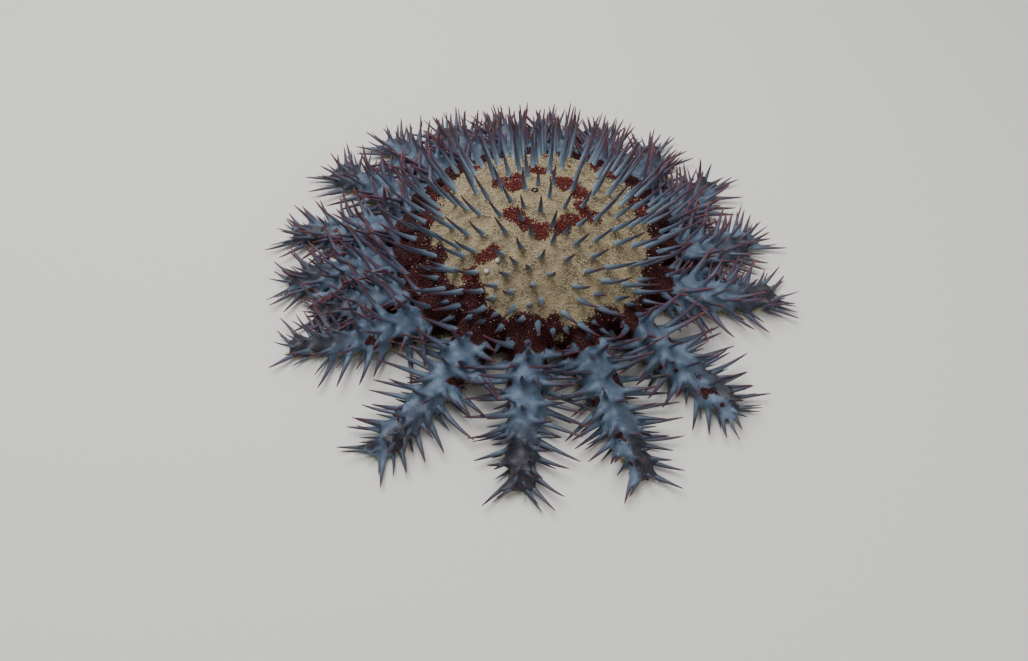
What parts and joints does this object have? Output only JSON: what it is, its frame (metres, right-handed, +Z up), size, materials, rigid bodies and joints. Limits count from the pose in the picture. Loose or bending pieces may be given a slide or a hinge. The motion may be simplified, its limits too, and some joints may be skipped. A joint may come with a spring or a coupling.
{
  "type": "crown-of-thorns starfish",
  "caption": "Crown-of-thorns starfish at life size, humped as it feeds: a domed disc ringed by many short arms, all covered in long tapered thorns.",
  "frame": {"origin": "centre of the whole outline's bounding box, on the floor that the arms' soles lie on", "axes": "+Z up from the floor through the disc's crown; -Y is the side that the picture shows nearest the camera"},
  "size_m": [0.3838, 0.3838, 0.0873],
  "materials": {
    "disc_skin": "matt, finely granular tan skin with maroon patches",
    "arm_skin": "moist blue-grey skin with dark red between the thorns",
    "thorns": "moist blue-grey skin over the thorns, red towards the points",
    "papulae": "soft, moist maroon",
    "mouth": "pale matt",
    "tube_feet": "soft, moist and pale"
  },
  "bodies": {
    "root": {"disc": "disc_skin", "mouth_ring": "mouth", "arm_01": "arm_skin", "arm_02": "arm_skin", "arm_03": "arm_skin", "arm_04": "arm_skin", "arm_05": "arm_skin", "arm_06": "arm_skin", "arm_07": "arm_skin", "arm_08": "arm_skin", "arm_09": "arm_skin", "arm_10": "arm_skin", "arm_11": "arm_skin", "arm_12": "arm_skin", "arm_13": "arm_skin", "arm_14": "arm_skin", "arm_15": "arm_skin", "arm_16": "arm_skin", "arm_17": "arm_skin", "arm_18": "arm_skin"}
  },
  "joints": []
}
